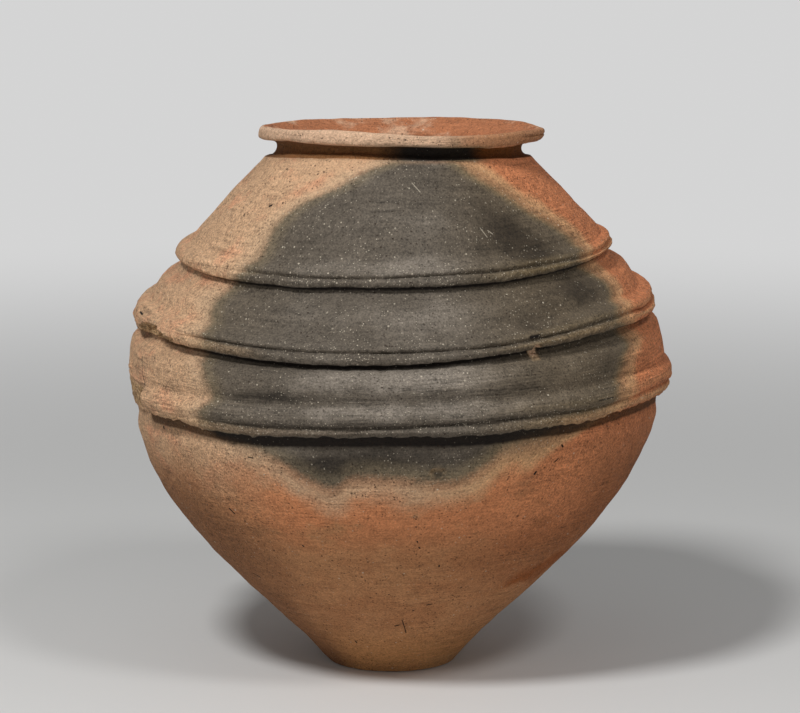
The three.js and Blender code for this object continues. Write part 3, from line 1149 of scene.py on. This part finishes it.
# The dark cloud that the fire left on the front, from its edges in degrees from the front and
# millimetres above the base
fireCloud = {
    "lowest": 140,
    "highest": 380,
    "widest": 90,
    "left": [
        (140, -30), (180, -36), (190, -42), (204, -43), (217, -41), (235, -43), (246, -45.5),
        (265, -44), (277, -47.4), (287, -47.6), (302, -40.2), (327, -37.6), (336, -32.4),
        (345, -21.5), (354, -13), (362, -3), (380, 0),
    ],
    "right": [
        (140, 20), (175, 30), (188, 42), (203, 51.5), (212, 53), (221, 55.5), (233, 58), (243, 62.5),
        (267, 60), (275, 64.4), (288, 63.5), (297, 60), (309, 61), (319, 57), (328, 50), (338, 44),
        (348, 36), (360, 27), (380, 20),
    ],
    "bottom": [
        (-90, 190), (-50, 186), (-36, 184), (-27, 177.7), (-23, 170), (-18.6, 162), (-13.3, 156.5),
        (-9.7, 162.9), (1, 162.5), (11.8, 160), (18.2, 166.8), (23.3, 177.8), (31.7, 183), (40, 189),
        (60, 194), (90, 196),
    ],
    "corner": 6,
    "coarse": (24, 2),
    "fine": (2.2, 3, 0.8),
    "edgeNoise": 5,
    "fineEdgeNoise": 9,
    "fadeIn": (-9, 5),
    "fadeInRight": (-16, 12),
    "rightSide": (0.25, 0.6),
    "top": (366, 358),
    "halo": (-25, -5),
    "haloNoise": 20,
    "ridgeShift": 12,
}
# Darker and paler parts of the cloud: degrees from the front, height, half width in degrees, half
# height, and how much darker each is
cloudPatches = [
    (36, 315, 12, 13, 0.9),
    (31, 335, 12, 11, 0.45),
    (43, 306, 9, 7, 0.6),
    (-24, 317, 9, 7, 0.4),
    (5, 328, 15, 6.5, -0.3),
    (2, 306, 34, 5, -0.45),
    (26, 350, 10, 7, 0.35),
    (51, 281, 12, 9, 0.85),
    (33, 271, 8, 8, 0.5),
    (8, 277, 18, 10, -0.5),
    (-14, 282, 12, 10, -0.2),
    (-40, 278, 6, 7.5, 0.2),
    (-26, 221, 13, 7, 0.9),
    (24, 223, 8, 9, 0.6),
    (48, 229, 6, 10, 0.1),
    (4, 236, 22, 11, -1.0),
    (1, 213, 42, 6.5, -0.55),
    (-16, 170, 8, 9, 1.0),
    (-4, 177, 12, 9, 0.9),
    (14, 176, 6, 7, 0.15),
]
# Soot in the neck, and a smudge on the lip, as degrees from the front and heights
neckSoot = {"left": (-14, 4), "right": (44, 32), "bottom": (358, 362), "top": (374, 370)}
lipSmudge = {"turn": 21.5, "height": 375, "reach": 9, "ragged": 12, "strength": 0.5}


def curveNode(value, points, inRange, outRange):
    inSpan, outSpan = inRange[1] - inRange[0], outRange[1] - outRange[0]
    scaled = [((x - inRange[0]) / inSpan, (y - outRange[0]) / outSpan) for x, y in points]
    made = addNode("FloatCurve", {"Value": (value - inRange[0]) / inSpan})
    mapping = made.socket.node.mapping
    curve = mapping.curves[0]
    curve.points[0].location = scaled[0]
    curve.points[1].location = scaled[-1]
    for point in scaled[1:-1]:
        curve.points.new(*point)
    mapping.update()
    return made * outSpan + outRange[0]


def makePatchGroup():
    group, turn, height, middle, level, halfWidth, halfHeight = newGroup(
        "Soft patch", Turn=0.0, Height=0.0, Middle=0.0, Level=0.0, Across=10.0, Up=10.0
    )
    away = distance((turn - middle) / halfWidth, (height - level) / halfHeight)
    return finishGroup(group, Mask=fade(away, 1.6, 0))


def makeCloudGroup():
    group, place, rub, inside = newGroup("Fire cloud", Place=None, Rub=0.0, Inside=0.0)
    angle, radius, x, z = bearing(place)
    height = z / mm
    turn = angle * math.degrees(1)
    heights = (fireCloud["lowest"], fireCloud["highest"])
    turns = (-fireCloud["widest"], fireCloud["widest"])
    left = curveNode(height, fireCloud["left"], heights, turns)
    right = curveNode(height, fireCloud["right"], heights, turns)
    bottom = curveNode(turn, fireCloud["bottom"], turns, heights)
    perDegree = radius * (math.radians(1) / mm)
    sides = calc("SMOOTH_MIN", (turn - left) * perDegree, (right - turn) * perDegree, fireCloud["corner"])
    depth = calc("SMOOTH_MIN", sides, height - bottom, fireCloud["corner"])
    coarse = noise(place, *fireCloud["coarse"]) - 0.5
    fine = noise(place, *fireCloud["fine"]) - 0.5
    depth = depth + coarse * fireCloud["edgeNoise"] + fine * fireCloud["fineEdgeNoise"]
    side = x / calc("MAXIMUM", radius, mm)
    depth = depth - side * rub * fireCloud["ridgeShift"]
    wide = fade(side, *fireCloud["rightSide"])
    start, full = (
        wide * (right - usual) + usual
        for usual, right in zip(fireCloud["fadeIn"], fireCloud["fadeInRight"])
    )
    below = fade(height, *fireCloud["top"])
    body = fade(depth, start, full) * below

    shadeAndSoot = fade(turn, *neckSoot["left"]) * fade(turn, *neckSoot["right"])
    shadeAndSoot = shadeAndSoot * fade(height, *neckSoot["bottom"]) * fade(height, *neckSoot["top"])
    away = distance((turn - lipSmudge["turn"]) * perDegree, height - lipSmudge["height"])
    away = away + fine * lipSmudge["ragged"]
    smudge = fade(away, lipSmudge["reach"], 0) * lipSmudge["strength"]
    smoke = calc("MAXIMUM", calc("MAXIMUM", body, shadeAndSoot), smudge) * (1 - inside)
    halo = fade(depth + coarse * fireCloud["haloNoise"], *fireCloud["halo"]) * (1 - smoke) * below
    return finishGroup(group, Smoke=smoke, Halo=halo, Depth=depth)


# Colours of the fired clay
clayColours = {
    "buff": "c49f7d",
    "peach": "cb9674",
    "ember": "c67a50",
    "tan": "b3825a",
    "ochre": "b88657",
    "sienna": "935b38",
    "flank": "875e40",
    "blush": "ca8459",
    "rust": "8a4a1e",
    "haloLeft": "c0a080",
    "haloRight": "cba276",
    "smoke": "5a5248",
    "paleSmoke": "857c71",
    "deepSmoke": "363029",
    "oliveSmoke": "786b55",
    "cream": "cba88b",
    "rimOrange": "b07e5a",
    "inside": "b0724f",
    "insidePale": "cda283",
    "core": "c3a27a",
    "deepCore": "94734c",
    "freshCore": "dcb898",
    "quartz": "d8ccb6",
    "pit": "34241a",
    # Colours of painted shade in crevices and holes, which also give the pebble and the lip's facet their
    # darker tone: near-black in the smoke, brown on the clay and ochre at the neck
    "shadeAndSoot": "17100c",
    "shadeAndGrimeBrown": "43290f",
    "neckShadeAndGrimeBrown": "70410f",
}
# Where each colour starts and where it is full: on a noise, in millimetres of height, in radians
# round from the front, or from -1 at the left to 1 at the right
ramps = {
    "peach": (0.47, 0.72),
    "sienna": (0.4, 0.65),
    "ochre": (50, 8),
    "upperWall": (128, 188),
    "lowerFlank": (205, 150),
    "leftFlank": (-0.35, -0.8),
    "leftHeight": (178, 120),
    "rightFlank": (0.15, 0.65),
    "rightHeight": (45, 120),
    "blushBottom": (98, 136),
    "blushTop": (188, 164),
    "blushFront": (1.0, 0.5),
    "blushPatches": (0.24, 0.5),
    "rust": (14, 2),
    "rustFront": (0.66, 0.82),
    "rustBack": (1.4, 1.1),
    "worn": (0.25, 0.7),
    "rimOrange": (0.2, 0.6),
    "lip": (369, 373),
    "insidePale": (0.46, 0.66),
    "haloRight": (0, 0.5),
    "paleSmoke": (0.05, -1),
    "deepSmoke": (0.02, 0.95),
    "oliveEdge": (17, 3),
    "oliveRight": (-0.4, 0.4),
    "warmLeft": (-0.35, -0.75),
    "warmRight": (0.12, 0.68),
}
# How strongly each colour shows
strengths = {
    "sienna": 0.3,
    "leftFlank": 0.85,
    "rightFlank": 0.9,
    "blush": 0.85,
    "rust": 0.75,
    "worn": 0.65,
    "halo": 0.9,
    "olive": 0.5,
    "oliveRight": 0.35,
    "warmLeft": 0.45,
    "warmth": (1.07, 0.99, 0.85),
}
# The noises that the colours follow, and how far each moves them
mottling = {
    "drift": (85, 2, 0.55),
    "driftRise": 60,
    "driftSide": 0.6,
    "patchy": (28, 3, 0.62),
    "patchyStretch": (1.0, 1.0, 1.6),
    "smoky": (34, 3, 0.55),
    "smokyShade": 1.1,
    "rubShade": 0.15,
    "ragged": (15, 4, 0.65),
    "raggedTurn": 14,
    "raggedRise": 12,
    "rustSlope": 26,
    "rustHeight": 55,
    "rustRagged": 34,
    "blushTurn": 0.15,
}


def ramp(value, name):
    return fade(value, *ramps[name])


def makeColourGroup():
    group, place, smokeShare, haloShare, depth, rub, inside = newGroup(
        "Fired clay colours", Place=None, Smoke=0.0, Halo=0.0, Depth=0.0, Rub=0.0, Inside=0.0
    )
    angle, radius, x, z = bearing(place)
    height = z / mm
    side = x / calc("MAXIMUM", radius, mm)
    drift = noise(place, *mottling["drift"]) - 0.5
    patchyPlace = vectorCalc("MULTIPLY", {0: place, 1: mottling["patchyStretch"]})
    patchy = noise(patchyPlace, *mottling["patchy"])

    # Buff and peach above, tan below, ochre at the foot
    upper = mix(ramp(patchy, "peach"), "buff", "peach")
    lower = mix(ramp(patchy, "sienna") * strengths["sienna"], "tan", "sienna")
    lower = mix(ramp(height, "ochre"), lower, "ochre")
    rise = height + drift * mottling["driftRise"]
    clay = mix(ramp(rise, "upperWall"), lower, upper)

    # The flanks: brownish on the left below, redder on the right, orange on the right above
    sideDrift = side + drift * mottling["driftSide"]
    leftFlank = ramp(sideDrift, "leftFlank") * ramp(rise, "leftHeight")
    clay = mix(leftFlank * strengths["leftFlank"], clay, "flank")
    rightFlank = ramp(sideDrift, "rightFlank") * ramp(height, "rightHeight")
    flank = mix(ramp(rise, "lowerFlank"), "ember", "sienna")
    clay = mix(rightFlank * strengths["rightFlank"], clay, flank)

    # Orange patches under the cloud, and rusty streaks low on the right
    blush = ramp(height, "blushBottom") * ramp(height, "blushTop")
    blush = blush * ramp(calc("ABSOLUTE", angle - mottling["blushTurn"]), "blushFront")
    clay = mix(blush * ramp(patchy, "blushPatches") * strengths["blush"], clay, "blush")
    streak = height - angle * mottling["rustSlope"] - mottling["rustHeight"]
    streak = streak + (patchy - 0.5) * mottling["rustRagged"]
    streak = ramp(calc("ABSOLUTE", streak), "rust") * ramp(angle, "rustFront") * ramp(angle, "rustBack")
    clay = mix(streak * strengths["rust"], clay, "rust")

    # Worn ridges are paler at the right
    worn = rub * ramp(side, "worn")
    clay = mix(worn * strengths["worn"], clay, "haloRight")

    # The lip, and the inside
    clay = mix(ramp(height, "lip"), clay, mix(ramp(sideDrift, "rimOrange"), "cream", "rimOrange"))
    clay = mix(inside, clay, mix(ramp(patchy, "insidePale"), "inside", "insidePale"))

    # The fire cloud with its pale edge
    halo = mix(ramp(side, "haloRight"), "haloLeft", "haloRight")
    clay = mix(haloShare * strengths["halo"], clay, halo)
    ragged = noise(place, *mottling["ragged"]) - 0.5
    turn = angle * math.degrees(1) + ragged * mottling["raggedTurn"]
    level = height + ragged * mottling["raggedRise"]
    shade = (noise(place, *mottling["smoky"]) - 0.5) * mottling["smokyShade"]
    for middle, at, across, up, darker in cloudPatches:
        spot = {"Middle": middle, "Level": at, "Across": across, "Up": up}
        shade = shade + useGroup(patchGroup, Turn=turn, Height=level, **spot) * darker
    shade = shade - rub * mottling["rubShade"]
    smoke = mix(ramp(shade, "paleSmoke"), "smoke", "paleSmoke")
    smoke = mix(ramp(shade, "deepSmoke"), smoke, "deepSmoke")
    olive = calc("MAXIMUM", ramp(depth, "oliveEdge"), worn)
    olive = olive * (ramp(side, "oliveRight") * strengths["oliveRight"] + strengths["olive"])
    smoke = mix(olive, smoke, "oliveSmoke")
    warmth = ramp(side, "warmLeft") * strengths["warmLeft"] + ramp(side, "warmRight")
    smoke = mix(warmth, smoke, vectorCalc("MULTIPLY", {0: smoke, 1: strengths["warmth"]}))
    return finishGroup(group, Color=mix(smokeShare, clay, smoke))


# Marks that stand out in the clay of each finish: holes, scratches and a fine crack, painted near-black
# as painted shade in them.
# Each goes from one azimuth and height to another, and its width is from its middle to its edge.
marks = {
    "orange_clay": [
        (208.6, 186.3, 208.9, 185, 1.1),
        (307.4, 177.7, 307.7, 176.5, 0.9),
        (301.8, 161.4, 301.6, 160.2, 1.1),
        (307, 168.6, 306.3, 166.8, 0.7),
        (246, 111.8, 246.2, 111, 0.7),
        (275.9, 117.3, 276.1, 116.5, 0.6),
        (276.6, 112.3, 276.9, 111.4, 0.6),
        (283.3, 96.3, 283.4, 95.4, 0.7),
        (250.3, 27.6, 250.6, 26.4, 0.7),
        (217.9, 78.6, 220.4, 76.3, 0.6),
        (283.7, 61.7, 285.5, 62.4, 0.6),
        (272.2, 43.5, 274, 44.4, 0.6),
        (275, 49.1, 277.9, 36.7, 0.4),
        (227.2, 134.6, 228.4, 131.4, 0.8),
        (237.4, 175.6, 238.6, 175.2, 0.5),
    ],
    "smoked_clay": [
        (193.4, 263.8, 196.4, 263.6, 0.85),
        (200.9, 235, 204, 213, 1.1),
        (300.2, 260.9, 302.2, 261.1, 1.7),
        (314, 206.6, 318.6, 206.9, 0.35),
    ],
    "buff_clay": [
        (224.3, 334.4, 225.2, 335, 0.8),
        (229.6, 336.8, 229.8, 336.4, 0.6),
        (214.1, 328.7, 214.4, 328.1, 0.6),
        (221.1, 355.4, 221.4, 355.1, 0.6),
    ],
}
# Pale scratches in the smoked part of the shoulder
scratches = {
    "buff_clay": [
        (296.2, 323.1, 297.5, 318.2, 0.4),
        (275.6, 348.5, 278.4, 343.4, 0.4),
        (298.4, 321.5, 299.6, 319.5, 0.4),
    ],
}
scratchStrength = 0.4


def makeMarkGroup():
    # How near a place is to a straight line drawn on the wall, as a mask of 1 on the line
    group, place, start, bottom, turn, climb, width = newGroup(
        "Mark", Place=None, Angle=0.0, Height=0.0, Turn=0.0, Climb=0.0, Width=mm
    )
    angle, radius, _, z = bearing(place)
    across = (angle - start) * radius
    up = z - bottom
    run = turn * radius
    share = (across * run + up * climb) / (run * run + climb * climb)
    share = calc("MINIMUM", calc("MAXIMUM", share, 0), 1)
    away = distance(across - share * run, up - share * climb)
    return finishGroup(group, Mark=fade(away, width, width * 0.4))


def placeMark(place, mark):
    startAzimuth, startHeight, endAzimuth, endHeight, width = mark
    line = {
        "Angle": math.radians(startAzimuth - 270),
        "Height": startHeight * mm,
        "Turn": math.radians(endAzimuth - startAzimuth),
        "Climb": (endHeight - startHeight) * mm,
        "Width": width * mm,
    }
    return useGroup(markGroup, Place=place, **line)


fabricGroup = makeFabricGroup()
patchGroup = makePatchGroup()
cloudGroup = makeCloudGroup()
colourGroup = makeColourGroup()
markGroup = makeMarkGroup()
print("Shader groups built")

# How gritty, pitted and wiped the clay is, and what smoke, wear, the flanks and a break add to it
clayFinish = {
    "grit": 0.16,
    "smokedGrit": 0.36,
    "rubbedGrit": 0.45,
    "looseGrit": (1.3, 0.3, 0.62),
    "looseShare": 0.5,
    "pits": 0.54,
    "smokedPits": -0.19,
    "corePits": 0.2,
    "pitStrength": 0.68,
    "wiping": 1.0,
    "contrast": 1.5,
    "smokedContrast": 0.7,
    "flankContrast": 0.8,
    "flank": (50, 120),
    "rubTone": 0.05,
    "relief": 1.5,
    "smokedRelief": -0.5,
    "flankRelief": 0.8,
    "coreRelief": 2.2,
    "holeDepth": 0.5,
    "roughness": 0.9,
    "smokedRoughness": -0.1,
    "grainRoughness": 0.15,
    "gritRoughness": -0.2,
    "specular": 0.2,
}
# Painted shade and grime in the crevices, and the fabric that a break lays bare
shadeAndGrimeFinish = {
    "broken": (2.8, 4, 0.68),
    "ragged": 0.9,
    "edges": (0.2, 0.85),
    "strength": 0.84,
    "smokedStrength": 0.1,
    "neck": (358, 364),
    "coreEdges": (0.36, 0.6),
    "core": 0.9,
    "grit": 0.8,
    "hidesGrit": 0.6,
}
slots = ["orange_clay", "smoked_clay", "buff_clay"]


def attribute(tree, name, output):
    made = tree.nodes.new("ShaderNodeAttribute")
    made.attribute_name = name
    return Wire(made.outputs[output])


def makeClay(slotName):
    material = bpy.data.materials.new(slotName)
    material.use_nodes = True
    tree = material.node_tree
    shader = tree.nodes["Principled BSDF"]
    place = attribute(tree, "clayPlace", "Vector")
    core, crevice, rub, inside, loose = (attribute(tree, name, "Fac") for name in maskNames)
    smoke, halo, depth = useGroup(cloudGroup, Place=place, Rub=rub, Inside=inside)
    _, _, x, z = bearing(place)
    flank = fade(calc("ABSOLUTE", x) / mm, *clayFinish["flank"]) * (1 - smoke)

    def finish(usual, smoked, more, wire):
        # A value of the finish, with what smoke and one other thing add to it
        return smoke * clayFinish[smoked] + clayFinish[usual] + wire * clayFinish[more]

    grit, pits, tone, grain, relief = useGroup(
        fabricGroup,
        Place=place,
        Grit=finish("grit", "smokedGrit", "rubbedGrit", rub),
        Pits=finish("pits", "smokedPits", "corePits", core),
        Wiping=clayFinish["wiping"],
        Contrast=finish("contrast", "smokedContrast", "flankContrast", flank),
    )
    clay = useGroup(colourGroup, Place=place, Smoke=smoke, Halo=halo, Depth=depth, Rub=rub, Inside=inside)

    # Painted shade, grime and soot in the crevices, broken fabric, and worn edges
    broken = noise(place, *shadeAndGrimeFinish["broken"])
    shadeAndGrimeBrown = mix(fade(z / mm, *shadeAndGrimeFinish["neck"]), "shadeAndGrimeBrown", "neckShadeAndGrimeBrown")
    patchy = crevice + (broken - 0.5) * shadeAndGrimeFinish["ragged"]
    shadeAndGrimeShare = fade(patchy, *shadeAndGrimeFinish["edges"])
    shadeAndGrimeShare = shadeAndGrimeShare * (smoke * shadeAndGrimeFinish["smokedStrength"] + shadeAndGrimeFinish["strength"])
    clay = mix(shadeAndGrimeShare, clay, mix(smoke, shadeAndGrimeBrown, "shadeAndSoot"))
    coreColour = mix(fade(broken, *shadeAndGrimeFinish["coreEdges"]), "deepCore", "core")
    # Fresh breaks are paler, and so is the painted light below the smaller chip
    coreColour = mix(core * rub, coreColour, "freshCore")
    clay = mix(core * shadeAndGrimeFinish["core"], clay, coreColour)
    clay = vectorCalc("SCALE", {0: clay, "Scale": tone + rub * clayFinish["rubTone"]})
    clay = mix(pits * clayFinish["pitStrength"], clay, "pit")
    holes = placeMark(place, marks[slotName][0])
    for mark in marks[slotName][1:]:
        holes = calc("MAXIMUM", holes, placeMark(place, mark))
    # The marks are painted near-black: painted shade in them
    clay = mix(holes, clay, "shadeAndSoot")

    # Grit, and loose grit that lies in the grooves and on the ridges of the cordons
    shown = grit * (shadeAndGrimeFinish["grit"] - shadeAndGrimeShare * shadeAndGrimeFinish["hidesGrit"])
    grains, chosen, shade = spots(place, *clayFinish["looseGrit"])
    grains = grains * calc("LESS_THAN", chosen, loose * smoke * clayFinish["looseShare"])
    shown = calc("MAXIMUM", shown, grains * (shade * 0.6 + 0.15))
    for mark in scratches.get(slotName, []):
        shown = calc("MAXIMUM", shown, placeMark(place, mark) * scratchStrength)
    feed(shader.inputs["Base Color"], mix(shown, clay, "quartz"))

    rough = finish("roughness", "smokedRoughness", "grainRoughness", grain)
    feed(shader.inputs["Roughness"], rough + grit * clayFinish["gritRoughness"])
    shader.inputs["Specular IOR Level"].default_value = clayFinish["specular"]

    height = relief * finish("relief", "smokedRelief", "flankRelief", flank)
    height = height + broken * core * clayFinish["coreRelief"] - holes * clayFinish["holeDepth"]
    bump = addNode("Bump", {"Height": height, "Strength": 1.0, "Distance": mm}, "Normal")
    feed(shader.inputs["Normal"], bump)
    return material


clays = {slotName: makeClay(slotName) for slotName in slots}
for piece in pieces:
    piece.data.materials.append(clays[piece["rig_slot"]])
print("Clay finished:", ", ".join(clays))

# Floor, light and camera
studio = {
    "floorSize": 80,
    "floorShown": (0.7, 0.7, 0.69, 1),
    "floorBounce": (0.62, 0.6, 0.58, 1),
    "floorRoughness": 0.95,
    "floorSpecular": 0.1,
    "farShown": 0.66,
    "farFrom": 0.45,
    "farTo": 2.4,
    "worldLight": 0.2,
}
lamps = [
    {"name": "Key", "at": (-0.85, -1.48, 2.2), "aim": (0, 0, 0.2), "size": 0.5, "power": 43},
    {"name": "Second", "at": (0.95, -1.46, 2.13), "aim": (0, 0, 0.2), "size": 0.55, "power": 14.2},
    {"name": "Low", "at": (0.2, -2.6, 0.5), "aim": (0, 0, 0.15), "size": 1.4, "power": 4.7},
]
photoCamera = {"at": (0.006, -2.5, 0.62), "aim": (0.006, 0, 0.21837), "lens": 160.714, "sensor": 36}


def pointAt(thing, target):
    heading = Vector(target) - thing.location
    thing.rotation_euler = heading.to_track_quat("-Z", "Y").to_euler()


def seenDirectly(tree):
    # 1 for what the camera sees itself, in a reflection or through something clear
    light = tree.nodes.new("ShaderNodeLightPath")
    rays = [Wire(light.outputs["Is " + kind + " Ray"]) for kind in ("Camera", "Glossy", "Transmission")]
    return calc("MAXIMUM", calc("MAXIMUM", rays[0], rays[1]), rays[2])


def makeFloor():
    half = studio["floorSize"] / 2
    corners = [(-half, -half, 0), (half, -half, 0), (half, half, 0), (-half, half, 0)]
    mesh = bpy.data.meshes.new("floor")
    mesh.from_pydata(corners, [], [(0, 1, 2, 3)])
    floor = bpy.data.objects.new("floor", mesh)
    bpy.context.scene.collection.objects.link(floor)
    material = bpy.data.materials.new("Pale floor")
    material.use_nodes = True
    tree = material.node_tree
    shader = tree.nodes["Principled BSDF"]
    seen = seenDirectly(tree)
    feed(shader.inputs["Base Color"], mix(seen, studio["floorBounce"], studio["floorShown"]))
    shader.inputs["Roughness"].default_value = studio["floorRoughness"]
    shader.inputs["Specular IOR Level"].default_value = studio["floorSpecular"]

    # Beyond the lamps' reach the floor keeps its pale tone as a backdrop
    geometry = tree.nodes.new("ShaderNodeNewGeometry")
    away = vectorCalc("LENGTH", {0: Wire(geometry.outputs["Position"])}, "Value")
    far = fade(away, studio["farFrom"], studio["farTo"]) * seen
    backdrop = tree.nodes.new("ShaderNodeEmission")
    backdrop.inputs["Strength"].default_value = studio["farShown"]
    mixed = tree.nodes.new("ShaderNodeMixShader")
    feed(mixed.inputs[0], far)
    tree.links.new(shader.outputs[0], mixed.inputs[1])
    tree.links.new(backdrop.outputs[0], mixed.inputs[2])
    tree.links.new(mixed.outputs[0], tree.nodes["Material Output"].inputs["Surface"])
    mesh.materials.append(material)


def makeWorld():
    world = bpy.data.worlds.new("Studio")
    world.use_nodes = True
    tree = world.node_tree
    background = tree.nodes["Background"]
    background.inputs["Color"].default_value = (1, 1, 1, 1)
    change = studio["farShown"] - studio["worldLight"]
    feed(background.inputs["Strength"], seenDirectly(tree) * change + studio["worldLight"])
    bpy.context.scene.world = world


def makeLamp(settings):
    light = bpy.data.lights.new(settings["name"], "AREA")
    light.shape = "DISK"
    light.size = settings["size"]
    light.energy = settings["power"]
    lamp = bpy.data.objects.new(settings["name"], light)
    lamp.location = settings["at"]
    pointAt(lamp, settings["aim"])
    bpy.context.scene.collection.objects.link(lamp)


def makeCamera():
    data = bpy.data.cameras.new("Photograph")
    data.sensor_width = photoCamera["sensor"]
    data.lens = photoCamera["lens"]
    data.clip_end = 200
    camera = bpy.data.objects.new("Photograph", data)
    camera.location = photoCamera["at"]
    pointAt(camera, photoCamera["aim"])
    bpy.context.scene.collection.objects.link(camera)
    bpy.context.scene.camera = camera


makeFloor()
makeWorld()
for settings in lamps:
    makeLamp(settings)
makeCamera()
bpy.context.scene.view_settings.view_transform = "Standard"
print("Studio ready")
